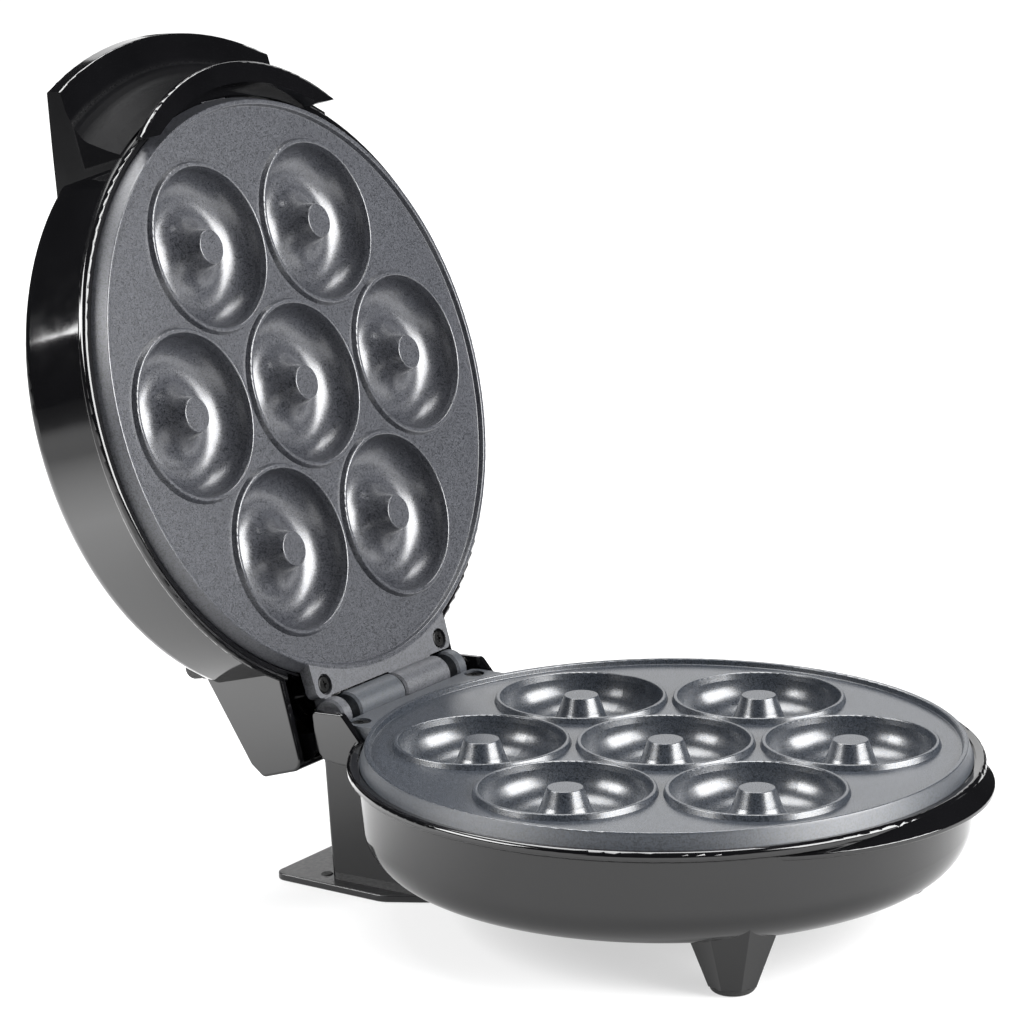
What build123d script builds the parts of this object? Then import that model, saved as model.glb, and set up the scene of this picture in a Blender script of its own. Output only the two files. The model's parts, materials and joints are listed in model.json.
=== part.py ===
from build123d import *
from math import atan2, cos, degrees, radians, sin, sqrt
import os

os.makedirs("parts", exist_ok=True)

# Seven-ring donut maker, shown with its lid standing open. Millimetres, +Z up, -Y to the front.
# The origin is on the table, under the middle of the open appliance.

# ---- driving dimensions -------------------------------------------------------------------
PITCH = 62.0               # centre to centre of neighbouring donut cavities
STAND_HEIGHT = 60.0        # table to the rim tops of the lower plate
PLATE_CENTRE_Y = -49.57    # lower plate's centre, front to back
OPEN_ANGLE = 107.0         # lid's rest position, from closed
CLOSED_GAP = 0.6           # between the rim tops of the two plates when closed

PLATE_R = 101.2            # outer edge of a plate's raised ring
PLATE_RING_INNER_R = 99.6
PLATE_FLOOR = -1.9         # recessed floor, below the rim tops
PLATE_UNDER = -4.6         # underside of the floor
PLATE_FOOT = -6.2          # lowest edge of the plate's tapered side wall

CUP_CENTRE_R = 17.64       # the cavity's round section, centre and radius
CUP_CENTRE_Z = -2.17
CUP_SECTION_R = 10.23
CUP_WALL = 2.4
CUP_FLOOR_HOLE_R = 29.4    # opening in the plate's floor that each cavity fills
RIM_SOFTNESS = 0.45

HINGE_Y = 112.6            # hinge axis, behind the plate's centre
HINGE_Z = CLOSED_GAP / 2
KNUCKLE_R = 6.5
KNUCKLE_CHAMFER = 0.8
LONG_KNUCKLE = (-27.3, -0.4)
SHORT_KNUCKLE = (32.0, 37.5)
PIN_R = 2.0
PIN_CLEARANCE = 0.05
PIN_LENGTH = 77.0
FLANGE_HALF_W = 40.3
FLANGE_END_Y = 105.6
PLATE_SCREWS = ((-34.5, 101.4), (34.5, 101.4))
SCREW_R = 1.5
SCREW_CLEARANCE_R = 2.0
RECESS_R = 3.7
RECESS_DEPTH = 1.8
HOOK_HALF_W = 7.0          # front hook that tucks under the housing's rim

BEAD_R = 107.4             # outermost radius of a housing's rim bead
SEAT_R = 103.8             # inside of the bead, round the plate
LEDGE_R = 99.5             # the ledge carries the plate's foot
POCKET_HALF_W = 41.05      # clear width of a housing round the hinge flange
POCKET_FLOOR = -8.2
BLOCK_HALF_W = 43.35
LEG_FRONT_Y = 74.0
LEG_BACK_Y = 111.9
LEG_TOP_Z = -9.5
LEG_TOP_HALF_W = 43.0
LEG_END_Z = -57.3
LEG_END_HALF_W = 39.2
LEG_CORNER = 1.4
LEG_WALL = 2.3
FOOT_CENTRES = ((-57.0, -59.7, 207.0), (57.0, -59.7, 333.0))
FOOT_END_Z = -57.6
FOOT_TOP_Z = -32.5         # inside the bowl's wall
FOOT_END_APOTHEM = 7.7
FOOT_TOP_APOTHEM = 16.5
FOOT_WALL = 2.3
FOOT_PLATE_BOTTOM = -59.8
FOOT_PLATE_SCREWS = ((-34, 81.5), (34, 81.5), (-34, 104), (34, 104))
PAD_STUDS = ((-36, 116.6), (36, 116.6))
CORD_INLET_Z = -37.0
TABLE_Z = -STAND_HEIGHT

LID_BLOCK_HALF_W = 49.5
LID_BLOCK_WALL = 2.4
LID_BLOCK = [(88, 14), (94.2, 6.2), (127.3, 7.7), (127.3, 25.5), (122, 29.3), (88, 39.0)]
LID_BLOCK_INSIDE = [(88, 0), (124.9, 0), (124.9, 24.3), (121.2, 27.0), (88, 36.5)]
STUDS = ((-47, 85.5), (47, 85.5))
STUD_SEAT = 39.9
LENSES = ((-9, -30), (9, -30))
STOP_X = (41.4, 43.1)
HANDLE_HALF_W = 58.2
HANDLE_AXIS_Y = 2.4        # the handle is turned about its own upright axis
LIP_AXIS_Y = -28.0         # so is the lid's front lip
LIP_HALF_W = 54.5
LIP_END_Y = -94.4          # the lip stops short of the bead, either side of the front
GRIP_AXIS_Y = -31.7        # and the base's front grip
GRIP_R = 82.0

ELEMENT_TUBE_R = 3.3
ELEMENT_RING_R = 62.0
ELEMENT_Z = -18.3
ELEMENT_BEND = 8.0
TAIL_X = 7.0
TAIL_END_Y = 86.0
TERMINAL_PIN_R = 1.2
TERMINAL_END_Y = 97.0
CLIP_BOSS_R = 53.7
CLIP_ANGLES = (30, 150, 270)
CLIP_SEAT = -15.0
SENSOR_BOSS = (0.0, 35.8)
SENSOR_SEAT = -15.5
EARTH_BOSS = (22.0, 92.0)
EARTH_SEAT = -12.5
REFLECTOR_Z = -27.0
REFLECTOR_T = 0.8
REFLECTOR_POST_R = 70.0
LEAD_R = 1.2
LEAD_END_Y = 101.0
TERMINAL_PORTS = (-TAIL_X, -1.9, 1.9, TAIL_X, 13.0)
UPPER_BLOCK_Y = (112.0, 120.0)

# ---- frames -------------------------------------------------------------------------------
# BASE sits on the lower plate's rim tops. LID is the same frame on the upper half: its origin is
# the upper plate's centre, +Z points out through the lid, and it stands open about the hinge.
BASE = Plane(origin=(0, PLATE_CENTRE_Y, STAND_HEIGHT), x_dir=(1, 0, 0), z_dir=(0, 0, 1))


def opened_lid_frame():
    turn = radians(OPEN_ANGLE)
    rise = CLOSED_GAP - HINGE_Z
    y = HINGE_Y - HINGE_Y * cos(turn) + rise * sin(turn)
    z = HINGE_Z + HINGE_Y * sin(turn) + rise * cos(turn)
    return Plane(origin=BASE.origin + Vector(0, y, z), x_dir=(1, 0, 0), z_dir=(0, sin(turn), cos(turn)))


LID = opened_lid_frame()
# One plate casting serves twice. It is drawn cooking side up, so the upper one is turned over.
LOWER = BASE
UPPER = Plane(origin=LID.origin, x_dir=-LID.x_dir, z_dir=-LID.z_dir)

CUPS = [(0, 0)] + [(PITCH * cos(radians(a)), PITCH * sin(radians(a))) for a in range(0, 360, 60)]


def section(frame):
    """Half section for turned shapes: local x outwards, local y up."""
    return Plane(origin=frame.origin, x_dir=frame.x_dir, z_dir=-frame.y_dir)


def side(frame, x=0.0):
    """Side view at x: local x towards the rear, local y up."""
    return Plane(origin=frame.origin + frame.x_dir * x, x_dir=frame.y_dir, z_dir=frame.x_dir)


def radial(frame, angle):
    """Upright plane through the frame's axis: local x outwards at the angle, local y up."""
    out = frame.x_dir * cos(radians(angle)) + frame.y_dir * sin(radians(angle))
    return Plane(origin=frame.origin, x_dir=out, z_dir=out.cross(frame.z_dir))


def shifted(frame, x=0.0, y=0.0, z=0.0):
    origin = frame.origin + frame.x_dir * x + frame.y_dir * y + frame.z_dir * z
    return Plane(origin=origin, x_dir=frame.x_dir, z_dir=frame.z_dir)


def placed(piece, frame, x=0.0, y=0.0, z=0.0):
    """Copy of a piece drawn about the global origin, put down in a frame."""
    return piece.moved(shifted(frame, x, y, z).location)


def polar(radius, angle):
    return (radius * cos(radians(angle)), radius * sin(radians(angle)))


# ---- shared ways of making a shape --------------------------------------------------------
def turned(frame, points, radii=0):
    """Closed half section (radius, height) turned about the frame's Z."""
    with BuildPart() as body:
        with BuildSketch(section(frame)):
            with BuildLine():
                FilletPolyline(*points, radius=radii, close=True)
            make_face()
        revolve(axis=Axis(frame.origin, frame.z_dir))
    return body.part


def prism(plane, points, radii, depth, both=False, soften=0.0):
    """Closed outline with rounded corners, pulled out from its plane."""
    with BuildPart() as body:
        with BuildSketch(plane):
            with BuildLine():
                FilletPolyline(*points, radius=radii, close=True)
            make_face()
        extrude(amount=depth, both=both)
        if soften:
            ends = body.faces().sort_by(Axis(plane.origin, plane.z_dir))
            fillet(ends[0].edges() + ends[-1].edges(), soften)
    return body.part


def peg(frame, x, y, start, end, radius):
    """Cylinder along the frame's Z between two heights."""
    with BuildPart() as body:
        with BuildSketch(shifted(frame, x, y, start)):
            Circle(radius)
        extrude(amount=end - start)
    return body.part


def block(frame, x_range, y_range, z_range):
    """Box given by its extents in a frame."""
    with BuildPart() as body:
        centre_x = (x_range[0] + x_range[1]) / 2
        centre_y = (y_range[0] + y_range[1]) / 2
        with BuildSketch(shifted(frame, centre_x, centre_y, z_range[0])):
            Rectangle(x_range[1] - x_range[0], y_range[1] - y_range[0])
        extrude(amount=z_range[1] - z_range[0])
    return body.part


def lead(frame, points, bend, radius=LEAD_R):
    """Insulated wire along straight runs joined by tangent bends."""
    with BuildPart() as wire:
        with BuildLine(frame) as route:
            FilletPolyline(*points, radius=bend)
        with BuildSketch(Plane(origin=route.line @ 0, z_dir=route.line % 0)):
            Circle(radius)
        sweep(path=route.wires()[0])
    return wire.part


def pan_screw(frame, x, y, seat, reach, head_r=2.8, head_h=1.8):
    """Pan-head screw whose head sits on `seat`; its shank runs along +Z by `reach`."""
    here = shifted(frame, x, y, seat)
    profile = [(0, -head_h), (head_r, -head_h), (head_r, 0), (SCREW_R, 0), (SCREW_R, reach), (0, reach)]
    with BuildPart() as screw:
        add(turned(here, profile, [0, head_h * 0.6, 0, 0, 0, 0]))
        with BuildSketch(shifted(here, 0, 0, -head_h)):
            Rectangle(2.6, 0.6)
            Rectangle(0.6, 2.6)
        extrude(amount=0.9, mode=Mode.SUBTRACT)
    return screw.part


def write(piece, name):
    piece.label = name
    export_step(piece, f"parts/{name}.step")
    print(name, round(piece.volume / 1000, 2), "cm3", len(piece.solids()), "solid(s)")


# ---- baking plates ------------------------------------------------------------------------
def cup_shell():
    """One ring cavity with its centre post, cooking side up, about the global origin."""
    outer_r = CUP_SECTION_R + CUP_WALL
    with BuildPart() as cup:
        with BuildSketch(Plane.XZ):
            with BuildLine():
                Polyline((8.0, -5.6), (6.0, 0), (0, 0), (0, -2.6), (4.38, -2.6), (5.74, -6.41))
                ThreePointArc((5.74, -6.41), (CUP_CENTRE_R, CUP_CENTRE_Z - outer_r), (30.03, -4.6))
                Polyline((30.03, -4.6), (30.4, PLATE_FLOOR), (29.7, 0), (28.4, 0), (27.87, -2.17))
                ThreePointArc((27.87, -2.17), (CUP_CENTRE_R, CUP_CENTRE_Z - CUP_SECTION_R), (8.0, -5.6))
            make_face()
        revolve(axis=Axis.Z)
        rims = [e for e in cup.edges().filter_by(GeomType.CIRCLE) if abs(e.center().Z) < 0.01]
        fillet(rims, RIM_SOFTNESS)
    return cup.part


def knuckle(x_range):
    """Hinge barrel along X with chamfered ends, centred on the global origin."""
    with BuildPart() as barrel:
        Cylinder(KNUCKLE_R, x_range[1] - x_range[0], rotation=(0, 90, 0))
        chamfer(barrel.edges().filter_by(GeomType.CIRCLE), KNUCKLE_CHAMFER)
    return barrel.part


def middle(span):
    return (span[0] + span[1]) / 2


def plate_disc(frame):
    """Floor and raised outer ring, before the cavities."""
    rim = [(0, PLATE_FLOOR), (99.2, PLATE_FLOOR), (PLATE_RING_INNER_R, 0), (PLATE_R, 0)]
    wall = [(103.2, -5.6), (103.0, PLATE_FOOT), (100.4, PLATE_FOOT), (100.0, PLATE_UNDER), (0, PLATE_UNDER)]
    return turned(frame, rim + wall, [0, 0.3, RIM_SOFTNESS, RIM_SOFTNESS, 0.3, 0, 0, 0, 0])


def plate_casting(frame):
    cup = cup_shell()
    w, end = FLANGE_HALF_W, FLANGE_END_Y
    flange = [(-w, 90), (-w, end), (w, end), (w, 90)]
    with BuildPart() as plate:
        add(prism(shifted(frame, 0, 0, PLATE_UNDER), flange, [0, 3, 3, 0], -PLATE_UNDER))
        add(peg(frame, 0, 0, -9, 1, 100.6), mode=Mode.SUBTRACT)
        for span in (LONG_KNUCKLE, SHORT_KNUCKLE):
            inset = (span[0] + KNUCKLE_CHAMFER, span[1] - KNUCKLE_CHAMFER)
            add(block(frame, inset, (104, HINGE_Y), (PLATE_UNDER, 0)))
            add(placed(knuckle(span), frame, middle(span), HINGE_Y, HINGE_Z))
        add(plate_disc(frame))
        for x, y in CUPS:
            add(peg(frame, x, y, PLATE_UNDER - 1, PLATE_FLOOR + 1, CUP_FLOOR_HOLE_R), mode=Mode.SUBTRACT)
            add(placed(cup, frame, x, y))
        for angle in CLIP_ANGLES:
            x, y = polar(CLIP_BOSS_R, angle)
            add(peg(frame, x, y, CLIP_SEAT, PLATE_UNDER, 3.3))
            add(peg(frame, x, y, CLIP_SEAT, CLIP_SEAT + 7, SCREW_R), mode=Mode.SUBTRACT)
        for (x, y), seat in ((SENSOR_BOSS, SENSOR_SEAT), (EARTH_BOSS, EARTH_SEAT)):
            add(peg(frame, x, y, seat, PLATE_UNDER, 3.6))
            add(peg(frame, x, y, seat, seat + 5, SCREW_R), mode=Mode.SUBTRACT)
        add(block(frame, (-HOOK_HALF_W, HOOK_HALF_W), (-102.9, -100.6), (-9.0, -5.6)))
        add(block(frame, (-HOOK_HALF_W, HOOK_HALF_W), (-105.0, -100.6), (-9.0, -7.6)))
        for x, y in PLATE_SCREWS:
            add(peg(frame, x, y, -RECESS_DEPTH, 1, RECESS_R), mode=Mode.SUBTRACT)
            add(peg(frame, x, y, PLATE_UNDER - 1, 1, SCREW_CLEARANCE_R), mode=Mode.SUBTRACT)
        with BuildSketch(side(shifted(frame, 0, HINGE_Y, HINGE_Z), -50)):
            Circle(PIN_R + PIN_CLEARANCE)
        extrude(amount=100, mode=Mode.SUBTRACT)
    return plate.part


# ---- what sits behind each plate ----------------------------------------------------------
def heating_element(frame):
    """Sheathed tube bent to an open ring, its two tails running back to terminal pins."""
    bend_x = TAIL_X + ELEMENT_BEND
    bend_y = sqrt((ELEMENT_RING_R + ELEMENT_BEND) ** 2 - bend_x ** 2)
    turn = degrees(atan2(bend_y, bend_x))
    with BuildPart() as element:
        with BuildLine(shifted(frame, 0, 0, ELEMENT_Z)) as route:
            Line((TAIL_X, TAIL_END_Y), (TAIL_X, bend_y))
            CenterArc((bend_x, bend_y), ELEMENT_BEND, 180, turn)
            CenterArc((0, 0), ELEMENT_RING_R, turn, -180 - 2 * turn)
            CenterArc((-bend_x, bend_y), ELEMENT_BEND, -turn, turn)
            Line((-TAIL_X, bend_y), (-TAIL_X, TAIL_END_Y))
        with BuildSketch(shifted_side(frame, TAIL_X, TAIL_END_Y)):
            Circle(ELEMENT_TUBE_R)
        sweep(path=route.wires()[0])
        for x in (-TAIL_X, TAIL_X):
            with BuildSketch(shifted_side(frame, x, TAIL_END_Y - 1)):
                Circle(TERMINAL_PIN_R)
            extrude(amount=TERMINAL_END_Y - TAIL_END_Y + 1)
    return element.part


def shifted_side(frame, x, y, z=ELEMENT_Z):
    """Plane across the front-to-back direction, facing the rear."""
    here = shifted(frame, x, y, z)
    return Plane(origin=here.origin, x_dir=frame.x_dir, z_dir=frame.y_dir)


def sleeves(frame, y_range, outer_r, inner_r):
    """A pair of tubes round the element's terminal pins."""
    with BuildPart() as pair:
        for x in (-TAIL_X, TAIL_X):
            with BuildSketch(shifted_side(frame, x, y_range[0])):
                Circle(outer_r)
                Circle(inner_r, mode=Mode.SUBTRACT)
            extrude(amount=y_range[1] - y_range[0])
    return pair.part


def element_clips(frame):
    strap = [(49.5, -15.0), (58.3, -15.0), (58.3, -21.7), (66.5, -21.7)]
    back = [(66.5, -22.6), (57.4, -22.6), (57.4, -15.9), (49.5, -15.9)]
    with BuildPart() as clips:
        for angle in CLIP_ANGLES:
            add(prism(radial(frame, angle), strap + back, [0, 0.8, 0.4, 0, 0, 1.2, 0, 0], 4, both=True))
            x, y = polar(CLIP_BOSS_R, angle)
            add(peg(frame, x, y, -17, -14, SCREW_R + 0.2), mode=Mode.SUBTRACT)
    return clips.part


def clip_screws(frame):
    with BuildPart() as screws:
        for angle in CLIP_ANGLES:
            x, y = polar(CLIP_BOSS_R, angle)
            add(pan_screw(frame, x, y, CLIP_SEAT - 0.9, 6.0))
    return screws.part


def reflector(frame):
    """Shallow pressed tray between the element and the plastic housing."""
    inner = [(0, REFLECTOR_Z), (88, REFLECTOR_Z), (93, -22)]
    outer = [(93.7, -22.5), (88.6, REFLECTOR_Z - REFLECTOR_T), (0, REFLECTOR_Z - REFLECTOR_T)]
    with BuildPart() as tray:
        add(turned(frame, inner + outer, [0, 2, 0, 0, 2.6, 0]))
        add(block(frame, (-14, 14), (86, 96), (-26.8, -20)), mode=Mode.SUBTRACT)
        for angle in CLIP_ANGLES:
            x, y = polar(REFLECTOR_POST_R, angle)
            add(peg(frame, x, y, -30, -24, SCREW_R + 0.2), mode=Mode.SUBTRACT)
    return tray.part


def reflector_screws(frame):
    outwards = Plane(origin=frame.origin, x_dir=frame.x_dir, z_dir=-frame.z_dir)
    with BuildPart() as screws:
        for angle in CLIP_ANGLES:
            x, y = polar(REFLECTOR_POST_R, angle)
            add(pan_screw(outwards, x, -y, -REFLECTOR_Z, 7.0))
    return screws.part


def plate_screws(frame):
    """Two screws seen in the recesses beside the hinge, driven towards the housing."""
    outwards = Plane(origin=frame.origin, x_dir=frame.x_dir, z_dir=-frame.z_dir)
    with BuildPart() as screws:
        for x, y in PLATE_SCREWS:
            add(pan_screw(outwards, x, -y, RECESS_DEPTH, 14.0, head_r=3.2, head_h=1.5))
    return screws.part


# ---- lower housing ------------------------------------------------------------------------
def lower_bowl(frame):
    """Outside of the bowl as a solid, up to its rim bead."""
    bottom = [(0, -42), (80, -42), (101.7, -38.05), (104.3, -8.9)]
    bead = [(BEAD_R, -7.7), (BEAD_R, -4.4), (SEAT_R, -5.0), (0, -5.0)]
    return turned(frame, bottom + bead, [0, 18, 16, 0.7, 1.3, 1.5, 0.3, 0])


def lower_hollow(frame):
    seat = [(0, 6), (SEAT_R, 6), (SEAT_R, PLATE_FOOT), (LEDGE_R, PLATE_FOOT), (LEDGE_R, -10)]
    inside = [(101.6, -12.5), (99.4, -36.0), (79.8, -39.6), (0, -39.6)]
    return turned(frame, seat + inside, [0, 0, 0, 0, 0, 0, 13.6, 16, 0])


def front_grip(frame):
    """Crescent lip at the front of the bowl, turned about its own axis."""
    top = [(60, -4.95), (75.4, -4.95), (GRIP_R, -8.9)]
    under = [(GRIP_R, -10.4), (73, -13.9), (60, -13.9)]
    return turned(shifted(frame, 0, GRIP_AXIS_Y), top + under, [0, 9, 0.6, 0.9, 3, 0])


def rear_block(frame):
    """Block that the hinge pocket is cut from."""
    front = [(92, -14), (94.5, -5.6), (103.2, 4.2), (116.1, 3.6)]
    back = [(114.6, -9.9), (111.4, -13.2), (105, -14)]
    radii = [0, 1, 2.2, 1.8, 2.2, 1.2, 0]
    return prism(side(frame), front + back, radii, BLOCK_HALF_W, both=True, soften=0.7)


def leg(frame, inset=0.0, extra=0.0):
    """Tapered rear leg, or its inside when inset."""
    depth = LEG_BACK_Y - LEG_FRONT_Y - 2 * inset
    centre_y = (LEG_BACK_Y + LEG_FRONT_Y) / 2
    corner = LEG_CORNER - inset * 0.3
    with BuildPart() as body:
        with BuildSketch(shifted(frame, 0, centre_y, LEG_END_Z - extra)):
            RectangleRounded(2 * (LEG_END_HALF_W - inset), depth, corner)
        with BuildSketch(shifted(frame, 0, centre_y, LEG_TOP_Z - extra * 1.3)):
            RectangleRounded(2 * (LEG_TOP_HALF_W - inset), depth, corner)
        loft(ruled=True)
    return body.part


def octagon(apothem, facing):
    reach = apothem / cos(radians(22.5))
    return [polar(reach, facing + 22.5 + 45 * k) for k in range(8)]


def front_foot(frame, x, y, facing, inset=0.0):
    """Eight-sided tapering foot under the bowl, or its inside when inset."""
    ends = ((FOOT_END_Z + inset, FOOT_END_APOTHEM), (FOOT_TOP_Z, FOOT_TOP_APOTHEM))
    with BuildPart() as foot:
        for height, apothem in ends:
            with BuildSketch(shifted(frame, x, y, height)):
                with BuildLine():
                    Polyline(*octagon(apothem - inset, facing), close=True)
                make_face()
        loft(ruled=True)
    return foot.part


def hook_slot(frame, towards=1):
    """Room for the plate's front hook, and the undercut it catches in."""
    with BuildPart() as slot:
        add(block(frame, (-8, 8), (-103.4, -98), tuple(sorted((-5 * towards, -11 * towards)))))
        add(block(frame, (-8, 8), (-105.6, -98), tuple(sorted((-7.2 * towards, -9.4 * towards)))))
    return slot.part


def inlet_frame():
    """Frame in the leg's rear wall, +Z out of the appliance."""
    return Plane(origin=shifted(BASE, 0, LEG_BACK_Y, CORD_INLET_Z).origin, x_dir=(1, 0, 0), z_dir=(0, 1, 0))


def build_lower_housing(frame):
    with BuildPart() as housing:
        add(lower_bowl(frame))
        add(front_grip(frame))
        add(rear_block(frame))
        add(leg(frame))
        for x, y, facing in FOOT_CENTRES:
            add(front_foot(frame, x, y, facing))
        add(lower_hollow(frame), mode=Mode.SUBTRACT)
        add(leg(frame, LEG_WALL, 1.0), mode=Mode.SUBTRACT)
        add(block(frame, (-POCKET_HALF_W, POCKET_HALF_W), (92, 125), (POCKET_FLOOR, 8)), mode=Mode.SUBTRACT)
        add(hook_slot(frame), mode=Mode.SUBTRACT)
        for x, y, facing in FOOT_CENTRES:
            add(front_foot(frame, x, y, facing, FOOT_WALL), mode=Mode.SUBTRACT)
            add(peg(frame, x, y, -58, -52, 1.9), mode=Mode.SUBTRACT)
        for x, y in PLATE_SCREWS:
            add(peg(frame, x, y, -20, PLATE_UNDER, 3.5))
            add(peg(frame, x, y, -18, 0, SCREW_R), mode=Mode.SUBTRACT)
        for x, y in FOOT_PLATE_SCREWS:
            add(peg(frame, x, y, LEG_END_Z, -46, 4.2))
            add(peg(frame, x, y, LEG_END_Z, -48, SCREW_R), mode=Mode.SUBTRACT)
        for angle in CLIP_ANGLES:
            x, y = polar(REFLECTOR_POST_R, angle)
            add(peg(frame, x, y, -40.5, REFLECTOR_Z - REFLECTOR_T, 4.0))
            add(peg(frame, x, y, -38, REFLECTOR_Z, SCREW_R), mode=Mode.SUBTRACT)
        add(peg(inlet_frame(), 0, 0, -6, 2, 5.1), mode=Mode.SUBTRACT)
    return housing.part


def foot_plate(frame):
    left = [(-33, 66), (-38.5, 74.5), (-45.2, 87), (-43.8, 134)]
    right = [(-x, y) for x, y in reversed(left)]
    radii = [4, 5, 9, 4.5, 4.5, 9, 5, 4]
    thickness = LEG_END_Z - FOOT_PLATE_BOTTOM
    with BuildPart() as plate:
        add(prism(shifted(frame, 0, 0, FOOT_PLATE_BOTTOM), left + right, radii, thickness, soften=0.5))
        for x, y in PAD_STUDS:
            add(peg(frame, x, y, -61, -58.6, 6.1), mode=Mode.SUBTRACT)
            add(peg(frame, x, y, -61, -56, 2.2), mode=Mode.SUBTRACT)
        for x, y in FOOT_PLATE_SCREWS:
            add(peg(frame, x, y, -61, -58.6, 3.5), mode=Mode.SUBTRACT)
            add(peg(frame, x, y, -61, -56, SCREW_CLEARANCE_R), mode=Mode.SUBTRACT)
    return plate.part


def rear_pads(frame):
    profile = [(0, TABLE_Z), (6.0, TABLE_Z), (6.0, -58.6), (2.15, -58.6), (2.15, -56.9), (0, -56.9)]
    with BuildPart() as pads:
        for x, y in PAD_STUDS:
            add(turned(shifted(frame, x, y), profile, [0, 0.6, 0, 0, 0.5, 0]))
    return pads.part


def front_pads(frame):
    """Rubber tips under the front feet, each with a stem pushed up into its foot."""
    profile = [(0, TABLE_Z), (6.9, TABLE_Z), (7.8, FOOT_END_Z), (1.8, FOOT_END_Z), (1.8, -53.6), (0, -53.6)]
    with BuildPart() as pads:
        for x, y, facing in FOOT_CENTRES:
            add(turned(shifted(frame, x, y), profile, [0, 2.3, 0, 0, 0.5, 0]))
    return pads.part


# ---- upper housing ------------------------------------------------------------------------
def lid_dome(frame):
    """Outside of the lid as a solid, down to its rim bead."""
    bead = [(0, 5.0), (SEAT_R, 5.0), (BEAD_R, 4.4), (BEAD_R, 7.7), (105.2, 9.0)]
    top = [(104.3, 37.0), (60, 40.2), (0, 41.2)]
    return turned(frame, bead + top, [0, 0.3, 1.5, 1.3, 0.7, 5, 120, 0])


def lid_hollow(frame):
    seat = [(0, -6), (SEAT_R, -6), (SEAT_R, -PLATE_FOOT), (LEDGE_R, -PLATE_FOOT), (LEDGE_R, 10)]
    inside = [(102.7, 13), (101.9, 34.6), (60, 37.7), (0, 38.7)]
    return turned(frame, seat + inside, [0, 0, 0, 0, 0, 0, 3, 120, 0])


def handle(frame, points, radii, half_width):
    """Band of a turned shape between two upright planes, in front of the lid."""
    with BuildPart() as grip:
        add(turned(shifted(frame, 0, HANDLE_AXIS_Y), points, radii))
        add(block(frame, (-half_width, half_width), (-140, -70), (-10, 60)), mode=Mode.INTERSECT)
    return grip.part


def handle_outside(frame):
    top = [(80, 38.9), (101.9, 38.3), (117.3, 34.3), (134.6, 29.7), (133.3, 24.0)]
    scoop = [(127.2, 23.9), (121.5, 22.3), (116.9, 19.2), (112.6, 10.9), (110.3, 5.7), (80, 5.7)]
    return handle(frame, top + scoop, [0, 20, 40, 0.7, 0.8, 6, 8, 8, 10, 0, 0], HANDLE_HALF_W)


def handle_inside(frame):
    top = [(80, 35.6), (101.9, 35.4), (117.0, 31.6), (129.0, 28.2), (128.2, 26.4)]
    scoop = [(120.4, 24.9), (114.8, 21.0), (110.0, 13), (80, 13)]
    return handle(frame, top + scoop, 0, HANDLE_HALF_W - 2.4)


def lid_lip(frame):
    """Thin lip along the foot of the scoop, over the base's front grip."""
    profile = [(60, -2.6), (86.6, -2.6), (86.6, 0.2), (79.5, 5.9), (60, 5.9)]
    with BuildPart() as lip:
        add(turned(shifted(frame, 0, LIP_AXIS_Y), profile, [0, 0.9, 1.0, 6, 0]))
        add(block(frame, (-LIP_HALF_W, LIP_HALF_W), (-140, LIP_END_Y), (-10, 10)), mode=Mode.INTERSECT)
        add(peg(frame, 0, -20, -9, 4.2, 87.0), mode=Mode.SUBTRACT)
    return lip.part


def lid_block_hollow(frame):
    """Inside of the lid's rear block, open below, outside the dome's wall."""
    half = LID_BLOCK_HALF_W - LID_BLOCK_WALL
    with BuildPart() as hollow:
        add(prism(side(frame), LID_BLOCK_INSIDE, [0, 0, 2, 2, 0], half, both=True))
        add(peg(frame, 0, 0, -10, 60, 104.6), mode=Mode.SUBTRACT)
    return hollow.part


def stop_ribs(frame):
    """Two ribs that meet the back of the base block when the lid is fully open."""
    outline = [(116.0, 4.0), (122.3, 5.15), (125.5, 8.0), (125.5, 22), (116.0, 22)]
    with BuildPart() as ribs:
        add(prism(side(frame, STOP_X[0]), outline, [0.6, 0.6, 0, 0, 0], STOP_X[1] - STOP_X[0]))
        add(prism(side(frame, -STOP_X[1]), outline, [0.6, 0.6, 0, 0, 0], STOP_X[1] - STOP_X[0]))
    return ribs.part


def build_upper_housing(frame):
    with BuildPart() as housing:
        add(lid_dome(frame))
        add(handle_outside(frame))
        add(lid_lip(frame))
        add(prism(side(frame), LID_BLOCK, [0, 1.5, 4, 2.5, 4, 0], LID_BLOCK_HALF_W, both=True, soften=1.0))
        add(lid_hollow(frame), mode=Mode.SUBTRACT)
        add(lid_block_hollow(frame), mode=Mode.SUBTRACT)
        add(handle_inside(frame), mode=Mode.SUBTRACT)
        add(block(frame, (-POCKET_HALF_W, POCKET_HALF_W), (92, 124), (-5, 8.2)), mode=Mode.SUBTRACT)
        add(hook_slot(frame, -1), mode=Mode.SUBTRACT)
        add(stop_ribs(frame))
        add(block(frame, (-14, 14), (99, 108), (14, 26)), mode=Mode.SUBTRACT)
        add(block(frame, (-6, 6), (113, 119), (25.5, 29.5)))
        for x, y in PLATE_SCREWS:
            add(peg(frame, x, y, -PLATE_UNDER, 20, 3.5))
            add(peg(frame, x, y, 0, 18, SCREW_R), mode=Mode.SUBTRACT)
        for angle in CLIP_ANGLES:
            x, y = polar(REFLECTOR_POST_R, angle)
            add(peg(frame, -x, y, -REFLECTOR_Z + REFLECTOR_T, 38.2, 4.0))
            add(peg(frame, -x, y, 20, 36, SCREW_R), mode=Mode.SUBTRACT)
        for x, y in STUDS:
            add(peg(frame, x, y, 37, STUD_SEAT, 4.6))
        for x, y in LENSES:
            add(peg(frame, x, y, 30, 45, 3.5), mode=Mode.SUBTRACT)
    return housing.part


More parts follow.
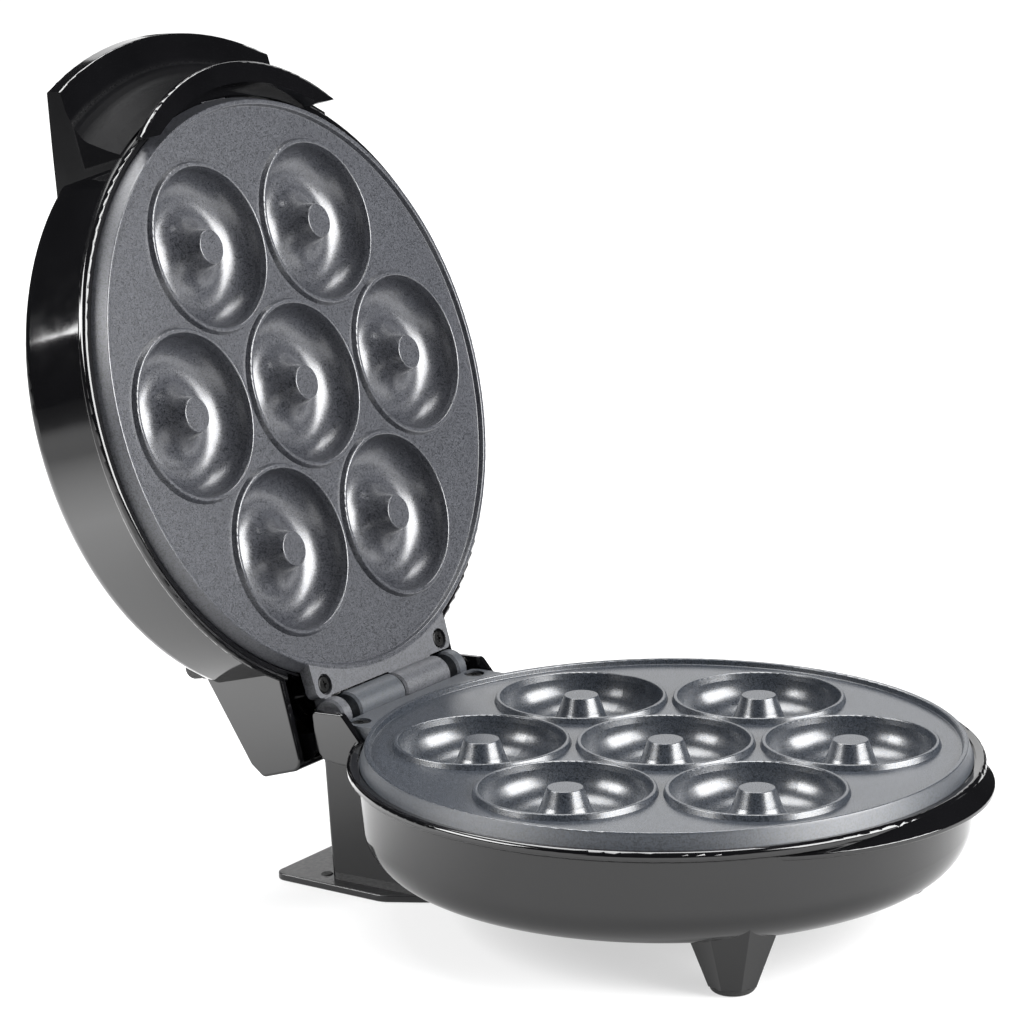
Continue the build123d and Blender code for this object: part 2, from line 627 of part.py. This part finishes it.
def storage_studs(frame):
    profile = [(0, STUD_SEAT), (4.3, STUD_SEAT), (3.6, 46.5), (0, 46.5)]
    with BuildPart() as studs:
        for x, y in STUDS:
            add(turned(shifted(frame, x, y), profile, [0, 0.3, 2.4, 0]))
    return studs.part


def lens(frame, x, y):
    outside = [(0, 42.0), (3.4, 42.0), (3.4, 37.5), (4.6, 37.5), (4.6, 36.5), (3.4, 36.5), (3.4, 32.2)]
    inside = [(2.6, 32.2), (2.6, 38.6), (0, 38.6)]
    return turned(shifted(frame, x, y), outside + inside, [0, 1.2, 0, 0, 0, 0, 0, 0, 0, 0])


# ---- small parts --------------------------------------------------------------------------
def hinge_pin():
    with BuildPart() as pin:
        Cylinder(PIN_R, PIN_LENGTH, rotation=(0, 90, 0))
        chamfer(pin.edges().filter_by(GeomType.CIRCLE), 0.4)
    return placed(pin.part, BASE, 0, HINGE_Y, HINGE_Z)


def foot_plate_screws(frame):
    with BuildPart() as screws:
        for x, y in FOOT_PLATE_SCREWS:
            add(pan_screw(frame, x, y, -58.6, 8.5, head_r=3.0, head_h=0.9))
    return screws.part


def cord_bush():
    inner = [(3.4, -4.4), (5.7, -4.4), (5.7, -2.5), (5.0, -2.5)]
    outer = [(5.0, 0), (7.2, 0), (7.2, 1.4), (5.6, 3.2), (3.4, 3.2)]
    return turned(inlet_frame(), inner + outer, [0.4, 0.5, 0, 0, 0, 0.4, 0.8, 0.8, 0.4])


def terminal_block(frame):
    with BuildPart() as body:
        add(block(frame, (-17, 17), (LEAD_END_Y - 5, LEAD_END_Y + 5), (LEG_END_Z, -47.5)))
        for x in TERMINAL_PORTS:
            add(peg(frame, x, LEAD_END_Y, -52, -47, LEAD_R + 0.3), mode=Mode.SUBTRACT)
    return body.part


def lower_leads(frame):
    top, end = ELEMENT_Z, -51.0
    with BuildPart() as leads:
        for s in (-1, 1):
            x = s * TAIL_X
            start = (x, TERMINAL_END_Y + 0.3, top)
            add(lead(frame, [start, (x, LEAD_END_Y, top), (x, LEAD_END_Y, end)], 2.5))
    return leads.part


def fuse_leads(frame):
    level, end = -17.8, -51.0
    with BuildPart() as leads:
        for s in (-1, 1):
            inner = s * 1.9
            outward = [(s * 6.2, 43, level), (s * 11, 43, level), (s * 11, 50, level)]
            back = [(inner, 57, level), (inner, LEAD_END_Y, level), (inner, LEAD_END_Y, end)]
            add(lead(frame, outward + back, 2.3))
    return leads.part


def earth_lead(frame):
    x, y = EARTH_BOSS
    level = EARTH_SEAT - 0.5
    down = [(x, LEAD_END_Y, level), (x, LEAD_END_Y, -38), (13, LEAD_END_Y, -38), (13, LEAD_END_Y, -51)]
    with BuildPart() as wire:
        add(peg(frame, x, y, EARTH_SEAT - 1.0, EARTH_SEAT, 3.2))
        add(block(frame, (x - 1.5, x + 1.5), (y, y + 5), (EARTH_SEAT - 1.0, EARTH_SEAT)))
        add(lead(frame, [(x, y + 4.4, level)] + down, 2.5, 1.0))
        add(peg(frame, x, y, EARTH_SEAT - 2.5, EARTH_SEAT, SCREW_R + 0.2), mode=Mode.SUBTRACT)
    return wire.part


def thermal_fuse(frame):
    with BuildPart() as fuse:
        with BuildSketch(side(shifted(frame, 0, 43, -17.8), -6)):
            Circle(2.1)
        extrude(amount=12)
        fillet(fuse.edges().filter_by(GeomType.CIRCLE), 0.6)
    return fuse.part


def fuse_clip(frame):
    over = [(32, -15.5), (39.9, -15.5), (39.9, -20.1), (46, -20.1)]
    under = [(46, -20.7), (39.3, -20.7), (39.3, -16.1), (32, -16.1)]
    x, y = SENSOR_BOSS
    with BuildPart() as clip:
        add(prism(side(frame), over + under, [0, 0.7, 0.4, 0, 0, 1.0, 0.1, 0], 3, both=True))
        add(peg(frame, x, y, -18, -14, SCREW_R + 0.2), mode=Mode.SUBTRACT)
    return clip.part


def thermostat(frame):
    """Snap-action disc switch held against the upper plate, with two blade terminals."""
    x, y = SENSOR_BOSS
    profile = [(0, SENSOR_SEAT), (6.5, SENSOR_SEAT), (6.5, -17), (7.8, -17), (7.8, -22), (0, -22)]
    with BuildPart() as switch:
        add(turned(shifted(frame, x, y), profile, [0, 0.5, 0, 0.3, 0.6, 0]))
        for s in (-1, 1):
            add(block(frame, (s * 4 - 1.5, s * 4 + 1.5), (y + 2, y + 8.6), (-24.0, -23.2)))
            add(block(frame, (s * 4 - 1.5, s * 4 + 1.5), (y + 2, y + 2.8), (-24.0, -21.0)))
    return switch.part


def upper_terminal_block(frame):
    ports = [(4.0, -23.6), (TAIL_X, ELEMENT_Z), (9.6, -22.3)]
    with BuildPart() as body:
        add(block(frame, (-13, 13), UPPER_BLOCK_Y, (-25.5, -14.0)))
        for x, z in ports:
            for s in (-1, 1):
                with BuildSketch(shifted_side(frame, s * x, UPPER_BLOCK_Y[0] - 1, z)):
                    Circle(LEAD_R + 0.3)
                extrude(amount=5, mode=Mode.SUBTRACT)
    return body.part


def upper_leads(frame):
    end = UPPER_BLOCK_Y[0] + 3.5
    with BuildPart() as leads:
        for s in (-1, 1):
            with BuildSketch(shifted_side(frame, s * TAIL_X, TERMINAL_END_Y + 0.3)):
                Circle(LEAD_R)
            extrude(amount=end - TERMINAL_END_Y - 0.3)
            with BuildSketch(shifted_side(frame, s * 4, SENSOR_BOSS[1] + 8.7, -23.6)):
                Circle(LEAD_R)
            extrude(amount=end - SENSOR_BOSS[1] - 8.7)
    return leads.part


def lamp_leads(frame):
    end = UPPER_BLOCK_Y[0] + 3.5
    with BuildPart() as leads:
        for x, y in LENSES:
            out = x / abs(x) * 9.6
            start = [(x, y, -31.2), (x, y, -29.6), (x, 90, -29.6)]
            finish = [(out, 97.5, -29.6), (out, 97.5, -22.3), (out, end, -22.3)]
            add(lead(frame, start + finish, 1.5, 0.8))
    return leads.part


def lamp(frame, x, y):
    return turned(shifted(frame, x, y), [(0, 31.4), (2.4, 31.4), (2.4, 38.4), (0, 38.4)], [0, 0.5, 1.4, 0])


# ---- every piece --------------------------------------------------------------------------
with BuildPart() as lower_plate:
    add(plate_casting(LOWER))
write(lower_plate.part, "lower_plate")

with BuildPart() as upper_plate:
    add(plate_casting(UPPER))
write(upper_plate.part, "upper_plate")

with BuildPart() as lower_housing:
    add(build_lower_housing(BASE))
write(lower_housing.part, "lower_housing")

with BuildPart() as upper_housing:
    add(build_upper_housing(LID))
write(upper_housing.part, "upper_housing")

PIECES = {
    "foot_plate": foot_plate(BASE),
    "foot_plate_screws": foot_plate_screws(BASE),
    "rear_pads": rear_pads(BASE),
    "front_pads": front_pads(BASE),
    "cord_inlet_bush": cord_bush(),
    "hinge_pin": hinge_pin(),
    "lower_plate_screws": plate_screws(LOWER),
    "lower_heating_element": heating_element(LOWER),
    "lower_element_insulators": sleeves(LOWER, (TAIL_END_Y, 91.0), 3.1, TERMINAL_PIN_R),
    "lower_crimps": sleeves(LOWER, (92.0, 98.2), 1.8, TERMINAL_PIN_R + 0.02),
    "lower_element_clips": element_clips(LOWER),
    "lower_clip_screws": clip_screws(LOWER),
    "lower_reflector": reflector(LOWER),
    "lower_reflector_screws": reflector_screws(LOWER),
    "terminal_block": terminal_block(LOWER),
    "lower_leads": lower_leads(LOWER),
    "thermal_fuse": thermal_fuse(LOWER),
    "fuse_clip": fuse_clip(LOWER),
    "fuse_clip_screw": pan_screw(LOWER, SENSOR_BOSS[0], SENSOR_BOSS[1], SENSOR_SEAT - 0.6, 4.5),
    "fuse_leads": fuse_leads(LOWER),
    "earth_lead": earth_lead(LOWER),
    "earth_screw": pan_screw(LOWER, EARTH_BOSS[0], EARTH_BOSS[1], EARTH_SEAT - 1.0, 5.0),
    "upper_plate_screws": plate_screws(UPPER),
    "upper_heating_element": heating_element(UPPER),
    "upper_element_insulators": sleeves(UPPER, (TAIL_END_Y, 91.0), 3.1, TERMINAL_PIN_R),
    "upper_crimps": sleeves(UPPER, (92.0, 98.2), 1.8, TERMINAL_PIN_R + 0.02),
    "upper_element_clips": element_clips(UPPER),
    "upper_clip_screws": clip_screws(UPPER),
    "upper_reflector": reflector(UPPER),
    "upper_reflector_screws": reflector_screws(UPPER),
    "thermostat": thermostat(UPPER),
    "upper_terminal_block": upper_terminal_block(UPPER),
    "upper_leads": upper_leads(UPPER),
    "lamp_leads": lamp_leads(UPPER),
    "power_lens": lens(LID, *LENSES[0]),
    "ready_lens": lens(LID, *LENSES[1]),
    "power_lamp": lamp(LID, *LENSES[0]),
    "ready_lamp": lamp(LID, *LENSES[1]),
    "storage_studs": storage_studs(LID),
}
for name, piece in PIECES.items():
    write(piece, name)
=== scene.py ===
import bpy
import json
from math import cos, radians, sin
from mathutils import Matrix, Vector


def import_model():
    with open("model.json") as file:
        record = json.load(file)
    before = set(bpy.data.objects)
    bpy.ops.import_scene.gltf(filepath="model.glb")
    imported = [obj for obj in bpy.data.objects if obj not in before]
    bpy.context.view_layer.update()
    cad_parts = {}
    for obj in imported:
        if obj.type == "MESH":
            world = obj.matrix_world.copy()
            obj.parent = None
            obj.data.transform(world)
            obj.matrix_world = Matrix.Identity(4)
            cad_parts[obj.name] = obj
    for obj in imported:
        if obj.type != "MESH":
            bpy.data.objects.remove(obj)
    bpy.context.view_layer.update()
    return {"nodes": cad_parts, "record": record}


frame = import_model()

# ---- places taken from the CAD frame -------------------------------------------------------
HINGE = Vector(frame["record"]["behaviour"]["joints"][0]["pos_m"])
OPEN = radians(frame["record"]["behaviour"]["joints"][0]["range_deg"][1])
LID_REAR = Vector((0, cos(OPEN), -sin(OPEN)))        # from the lid's handle towards its hinge
LID_OUT = Vector((0, sin(OPEN), cos(OPEN)))          # out through the lid
REACH, RISE = 0.1126, 0.0003                         # hinge from a plate's centre, along and above it
DOME_REACH = 0.1102                                  # hinge from the axis of the lid's round wall
LOWER_CENTRE = HINGE - Vector((0, REACH, RISE))
UPPER_CENTRE = HINGE - LID_REAR * REACH + LID_OUT * RISE
DOME_CENTRE = HINGE - LID_REAR * DOME_REACH

# Where each finish changes over, as the start and end of its ramp in metres; the scoop's ramps also bound the
# painted shade there.
SCOOP_FROM_HINGE = (0.17, 0.172)
SCOOP_FROM_DOME_AXIS = (0.1085, 0.1095)
SCOOP_OVER_LIP = (0.005, 0.0056)
SCOOP_UNDER_GRIP = (0.0225, 0.0235)
PLATE_SIDE = (0.1011, 0.1015)                        # from a plate's axis


# ---- material building blocks ---------------------------------------------------------------
class Nodes:
    """A material with a Principled shader, and short calls for the nodes round it."""

    def __init__(self, name):
        self.material = bpy.data.materials.new(name)
        self.material.use_nodes = True
        self.tree = self.material.node_tree
        self.tree.nodes.clear()
        out = self.tree.nodes.new("ShaderNodeOutputMaterial")
        self.shader = self.tree.nodes.new("ShaderNodeBsdfPrincipled")
        self.link(self.shader.outputs["BSDF"], out.inputs["Surface"])
        self.coords = self.tree.nodes.new("ShaderNodeTexCoord").outputs["Object"]

    def link(self, a, b):
        self.tree.links.new(a, b)

    def put(self, **values):
        for key, value in values.items():
            self.shader.inputs[key.replace("_", " ")].default_value = value

    def noise(self, scale, detail=2.0, roughness=0.5, stretch=None):
        node = self.tree.nodes.new("ShaderNodeTexNoise")
        node.inputs["Scale"].default_value = scale
        node.inputs["Detail"].default_value = detail
        node.inputs["Roughness"].default_value = roughness
        self.link(self.scaled(stretch) if stretch else self.coords, node.inputs["Vector"])
        return node.outputs["Fac"]

    def scaled(self, stretch):
        node = self.tree.nodes.new("ShaderNodeMapping")
        node.inputs["Scale"].default_value = stretch
        self.link(self.coords, node.inputs["Vector"])
        return node.outputs["Vector"]

    def cells(self, scale, output="Color"):
        node = self.tree.nodes.new("ShaderNodeTexVoronoi")
        node.inputs["Scale"].default_value = scale
        self.link(self.coords, node.inputs["Vector"])
        return node.outputs[output]

    def remap(self, value, low, high, out_low, out_high):
        node = self.tree.nodes.new("ShaderNodeMapRange")
        for name, number in zip(("From Min", "From Max", "To Min", "To Max"), (low, high, out_low, out_high)):
            node.inputs[name].default_value = number
        self.link(value, node.inputs["Value"])
        return node.outputs["Result"]

    def maths(self, operation, first, second):
        """Number node; either side may be a socket or a plain number."""
        node = self.tree.nodes.new("ShaderNodeMath")
        node.operation = operation
        for socket, value in zip(node.inputs, (first, second)):
            if isinstance(value, (int, float)):
                socket.default_value = value
            else:
                self.link(value, socket)
        return node.outputs["Value"]

    def vector(self, operation, first, constant, output="Vector"):
        node = self.tree.nodes.new("ShaderNodeVectorMath")
        node.operation = operation
        self.link(first, node.inputs[0])
        if constant:
            node.inputs[1].default_value = constant
        return node.outputs[output]

    def along(self, direction, origin):
        """Distance of the surface point along a direction, from an origin in the CAD frame."""
        return self.vector("DOT_PRODUCT", self.vector("SUBTRACT", self.coords, origin), direction, "Value")

    def off_axis(self, direction, origin):
        """Distance of the surface point from an axis in the CAD frame."""
        from_origin = self.vector("SUBTRACT", self.coords, origin)
        return self.vector("LENGTH", self.vector("CROSS_PRODUCT", from_origin, direction), None, "Value")

    def blend(self, factor, first, second):
        node = self.tree.nodes.new("ShaderNodeMix")
        node.data_type = "RGBA"
        node.inputs["A"].default_value = (*first, 1)
        node.inputs["B"].default_value = (*second, 1)
        self.link(factor, node.inputs["Factor"])
        return node.outputs["Result"]

    def bump(self, height, distance, strength=1.0):
        node = self.tree.nodes.new("ShaderNodeBump")
        node.inputs["Distance"].default_value = distance
        node.inputs["Strength"].default_value = strength
        self.link(height, node.inputs["Height"])
        self.link(node.outputs["Normal"], self.shader.inputs["Normal"])

    def feed(self, socket, value):
        self.link(value, self.shader.inputs[socket])


def gloss_housing():
    """Moulded gloss black plastic, with a fine grain left inside the lid's handle scoop; there its reflection
    is also turned almost off, which is painted shade.
    """
    m = Nodes("gloss_black")
    m.put(IOR=1.52)
    m.feed("Base Color", m.blend(m.noise(40, 4), (0.0012, 0.0012, 0.0015), (0.0035, 0.0035, 0.004)))
    gloss = m.remap(m.noise(90, 5, 0.65), 0.3, 0.75, 0.05, 0.12)
    grain = m.remap(m.noise(1500, 3, 0.7), 0.35, 0.65, 0.3, 0.5)
    in_front = m.remap(m.along(-LID_REAR, HINGE), *SCOOP_FROM_HINGE, 0, 1)
    beyond_dome = m.remap(m.off_axis(LID_OUT, DOME_CENTRE), *SCOOP_FROM_DOME_AXIS, 0, 1)
    over_lip = m.remap(m.along(LID_OUT, HINGE), *SCOOP_OVER_LIP, 0, 1)
    under_grip = m.remap(m.along(LID_OUT, HINGE), *SCOOP_UNDER_GRIP, 1, 0)
    handle = m.maths("MULTIPLY", in_front, beyond_dome)
    scoop = m.maths("MULTIPLY", m.maths("MULTIPLY", handle, over_lip), under_grip)
    spread = m.maths("SUBTRACT", grain, gloss)
    m.feed("Roughness", m.maths("ADD", gloss, m.maths("MULTIPLY", spread, scoop)))
    # Painted shade: inside the scoop the reflection is turned almost off (0.5 down to 0.02), so the lamps
    # barely show in it.
    m.feed("Specular IOR Level", m.remap(scoop, 0, 1, 0.5, 0.02))
    m.bump(m.noise(330, 2), 0.00001, 0.4)
    return m.material


def satin_plastic(name, colour, roughness):
    """Fine spark-eroded texture on plain plastic."""
    m = Nodes(name)
    dark = tuple(c * 0.8 for c in colour)
    m.feed("Base Color", m.blend(m.noise(60, 4), dark, colour))
    m.feed("Roughness", m.remap(m.noise(700, 3), 0.3, 0.7, roughness - 0.06, roughness + 0.06))
    m.bump(m.noise(1800, 2), 0.00003, 0.5)
    return m.material


def coated_plate(name, dark, light, roughness, flake, centre, axis):
    """Non-stick coating on a casting: fine flake under a thin binder, rougher on the side wall."""
    m = Nodes(name)
    m.put(IOR=1.7)
    speckle = m.remap(m.cells(2600), 0.2, 1.0, 0.0, 1.0)
    m.feed("Base Color", m.blend(speckle, dark, light))
    m.feed("Metallic", m.remap(speckle, 0.5, 1.0, 0.0, flake))
    side_wall = m.remap(m.off_axis(axis, centre), *PLATE_SIDE, 0, 0.2)
    face = m.remap(m.noise(2600, 2, 0.6), 0.3, 0.7, roughness - 0.05, roughness + 0.06)
    m.feed("Roughness", m.maths("ADD", face, side_wall))
    m.bump(m.noise(2200, 2, 0.6), 0.00001, 0.6)
    return m.material


def metal(name, colour, roughness, stretch=(1, 1, 1)):
    """Bare metal with a mottle; the stretch draws it out into fine lines."""
    m = Nodes(name)
    m.put(Metallic=1.0)
    dark = tuple(c * 0.7 for c in colour)
    m.feed("Base Color", m.blend(m.noise(220, 4, 0.6, stretch), dark, colour))
    m.feed("Roughness", m.remap(m.noise(900, 3, 0.6, stretch), 0.3, 0.7, roughness - 0.08, roughness + 0.08))
    m.bump(m.noise(1400, 2, 0.5, stretch), 0.00001, 0.5)
    return m.material


def clear_plastic(name, colour):
    """Tinted clear plastic or glass, a little dimpled."""
    m = Nodes(name)
    m.put(Transmission_Weight=0.85, IOR=1.49)
    dark = tuple(c * 0.75 for c in colour)
    m.feed("Base Color", m.blend(m.noise(300, 3), dark, colour))
    m.feed("Roughness", m.remap(m.noise(800, 3), 0.3, 0.7, 0.06, 0.16))
    m.bump(m.cells(900, "Distance"), 0.00004, 0.5)
    return m.material


FINISHES = {
    "housing": gloss_housing(),
    "housing_matte": satin_plastic("satin_black", (0.012, 0.012, 0.013), 0.34),
    "nonstick_lower": coated_plate(
        "coating_lower", (0.006, 0.008, 0.011), (0.05, 0.057, 0.07), 0.28, 0.6, LOWER_CENTRE, (0, 0, 1)
    ),
    "nonstick_upper": coated_plate(
        "coating_upper", (0.008, 0.009, 0.012), (0.085, 0.088, 0.1), 0.29, 0.7, UPPER_CENTRE, LID_OUT
    ),
    "pin_steel": metal("ground_steel", (0.5, 0.5, 0.5), 0.28, (12, 1, 1)),
    "screw_steel": metal("zinc_steel", (0.32, 0.32, 0.33), 0.35),
    "screw_black": metal("black_steel", (0.02, 0.02, 0.02), 0.4),
    "rubber": satin_plastic("rubber", (0.015, 0.015, 0.015), 0.7),
    "element_sheath": metal("element_sheath", (0.2, 0.19, 0.18), 0.45),
    "ceramic": satin_plastic("ceramic", (0.8, 0.78, 0.72), 0.3),
    "crimp_brass": metal("crimp_brass", (0.7, 0.6, 0.35), 0.3),
    "clip_steel": metal("clip_steel", (0.55, 0.55, 0.56), 0.3, (1, 6, 1)),
    "reflector": metal("reflector", (0.75, 0.75, 0.76), 0.22, (1, 8, 1)),
    "block_plastic": satin_plastic("nylon", (0.75, 0.72, 0.62), 0.45),
    "lead_white": satin_plastic("sleeving_white", (0.8, 0.8, 0.78), 0.6),
    "lead_green": satin_plastic("sleeving_green", (0.15, 0.42, 0.08), 0.6),
    "fuse_case": metal("fuse_case", (0.7, 0.66, 0.55), 0.3),
    "thermostat_body": satin_plastic("phenolic", (0.05, 0.03, 0.02), 0.4),
    "lens_red": clear_plastic("lens_red", (0.8, 0.03, 0.02)),
    "lens_green": clear_plastic("lens_green", (0.03, 0.65, 0.1)),
    "lamp_glass": clear_plastic("lamp_glass", (0.9, 0.8, 0.7)),
}

for part in frame["record"]["subparts"]:
    node = frame["nodes"][part["node"]]
    for place in node.material_slots:
        place.material = FINISHES[part["material_slot"]]


# ---- studio ---------------------------------------------------------------------------------
AIM = Vector((0, 0, 0.13))                             # the lights point here
FLOOR_HALF = 9
AROUND, BEHIND = 0.02, 1.1                             # strength of the world, lit and seen


def square(name, half):
    """A level square about the origin, at table height."""
    corners = [(-half, -half, 0), (half, -half, 0), (half, half, 0), (-half, half, 0)]
    mesh = bpy.data.meshes.new(name)
    mesh.from_pydata(corners, [], [(0, 1, 2, 3)])
    thing = bpy.data.objects.new(name, mesh)
    bpy.context.scene.collection.objects.link(thing)
    return thing


def floor():
    """White sweep that glows. Seen directly, its glow rises with distance to make up for the lamps' falloff.
    Mirrored, it is dim near the object as painted shade for the shadow under it, fades far off, and is
    brighter behind as painted light.
    """
    m = Nodes("studio_white")
    m.put(Roughness=0.9, Emission_Color=(1, 1, 1, 1), Specular_IOR_Level=0.0)
    m.feed("Base Color", m.blend(m.noise(2, 2), (0.34, 0.34, 0.34), (0.38, 0.38, 0.38)))
    away = m.vector("LENGTH", m.coords, None, "Value")
    direct = m.remap(away, 0.3, 1.3, 0.58, 1.04)
    # Painted shade in reflections: the mirrored glow drops close to the object, standing in for the shadow
    # under it.
    near = m.remap(away, 0.1, 0.35, 0.3, 1.15)
    fade = m.remap(away, 0.35, 0.75, 1.0, 0.03)
    # Painted light in reflections: the mirrored glow is raised behind the object, to brighten the lid's wall
    # and the leg where they mirror it.
    behind = m.remap(m.along(Vector((0, 1, 0)), Vector()), 0.0, 0.2, 1.0, 2.6)
    mirrored = m.maths("MULTIPLY", m.maths("MULTIPLY", near, fade), behind)
    ray = m.tree.nodes.new("ShaderNodeLightPath").outputs["Is Glossy Ray"]
    change = m.maths("MULTIPLY", ray, m.maths("SUBTRACT", mirrored, direct))
    m.feed("Emission Strength", m.maths("ADD", direct, change))
    sweep = square("studio_floor", FLOOR_HALF)
    sweep.data.materials.append(m.material)


def softbox(name, azimuth, elevation, distance, width, height, power):
    """Area light aimed at the object, placed by direction: azimuth from +X towards +Y."""
    a, e = radians(azimuth), radians(elevation)
    data = bpy.data.lights.new(name, "AREA")
    data.shape = "RECTANGLE"
    data.size, data.size_y = width, height
    data.energy = power
    lamp = bpy.data.objects.new(name, data)
    away = Vector((cos(a) * cos(e), sin(a) * cos(e), sin(e)))
    lamp.location = AIM + away * distance
    lamp.visible_camera = False
    lamp.rotation_mode = "QUATERNION"
    lamp.rotation_quaternion = (-away).to_track_quat("-Z", "Y")
    bpy.context.scene.collection.objects.link(lamp)


def world():
    """Plain white behind the object, and a dimmer studio all round for it to reflect."""
    scene_world = bpy.data.worlds.new("studio")
    scene_world.use_nodes = True
    tree = scene_world.node_tree
    around = tree.nodes["Background"]
    around.inputs["Color"].default_value = (1, 1, 1, 1)
    around.inputs["Strength"].default_value = AROUND
    behind = tree.nodes.new("ShaderNodeBackground")
    behind.inputs["Color"].default_value = (1, 1, 1, 1)
    behind.inputs["Strength"].default_value = BEHIND
    mix = tree.nodes.new("ShaderNodeMixShader")
    path = tree.nodes.new("ShaderNodeLightPath")
    tree.links.new(path.outputs["Is Camera Ray"], mix.inputs["Fac"])
    tree.links.new(around.outputs["Background"], mix.inputs[1])
    tree.links.new(behind.outputs["Background"], mix.inputs[2])
    tree.links.new(mix.outputs["Shader"], tree.nodes["World Output"].inputs["Surface"])
    bpy.context.scene.world = scene_world


CAMERA_AZIMUTH, CAMERA_ELEVATION, CAMERA_ROLL = -56.0233, 13.5138, -1.0692
CAMERA_LENS, SENSOR = 140.98, 36.0
CAMERA_OFFSET = Vector((-1.0997, -0.6806, 0.390))      # from the middle of the lower plate
CAMERA_REACH = 100


def camera():
    """A long lens, turned to an azimuth from the front, an elevation and a roll."""
    a, e, r = radians(CAMERA_AZIMUTH), radians(CAMERA_ELEVATION), radians(CAMERA_ROLL)
    back = Vector((sin(a) * cos(e), -cos(a) * cos(e), sin(e)))
    right = Vector((cos(a), sin(a), 0))
    up = back.cross(right)
    right, up = right * cos(r) + up * sin(r), up * cos(r) - right * sin(r)
    data = bpy.data.cameras.new("camera")
    data.lens, data.sensor_width = CAMERA_LENS, SENSOR
    data.clip_end = CAMERA_REACH
    eye = bpy.data.objects.new("camera", data)
    turn = Matrix((right, up, back)).transposed().to_4x4()
    eye.matrix_world = Matrix.Translation(LOWER_CENTRE + CAMERA_OFFSET) @ turn
    bpy.context.scene.collection.objects.link(eye)
    bpy.context.scene.camera = eye


floor()
world()
softbox("key", -79, 25, 1.6, 1.45, 0.95, 80)
softbox("rim", 140, 28, 1.5, 0.95, 0.6, 36)
softbox("top", 50, 68, 1.4, 1.2, 0.9, 38)
softbox("backdrop", 34, 18, 2.0, 1.8, 0.7, 6)
camera()
bpy.context.scene.view_settings.view_transform = "Standard"
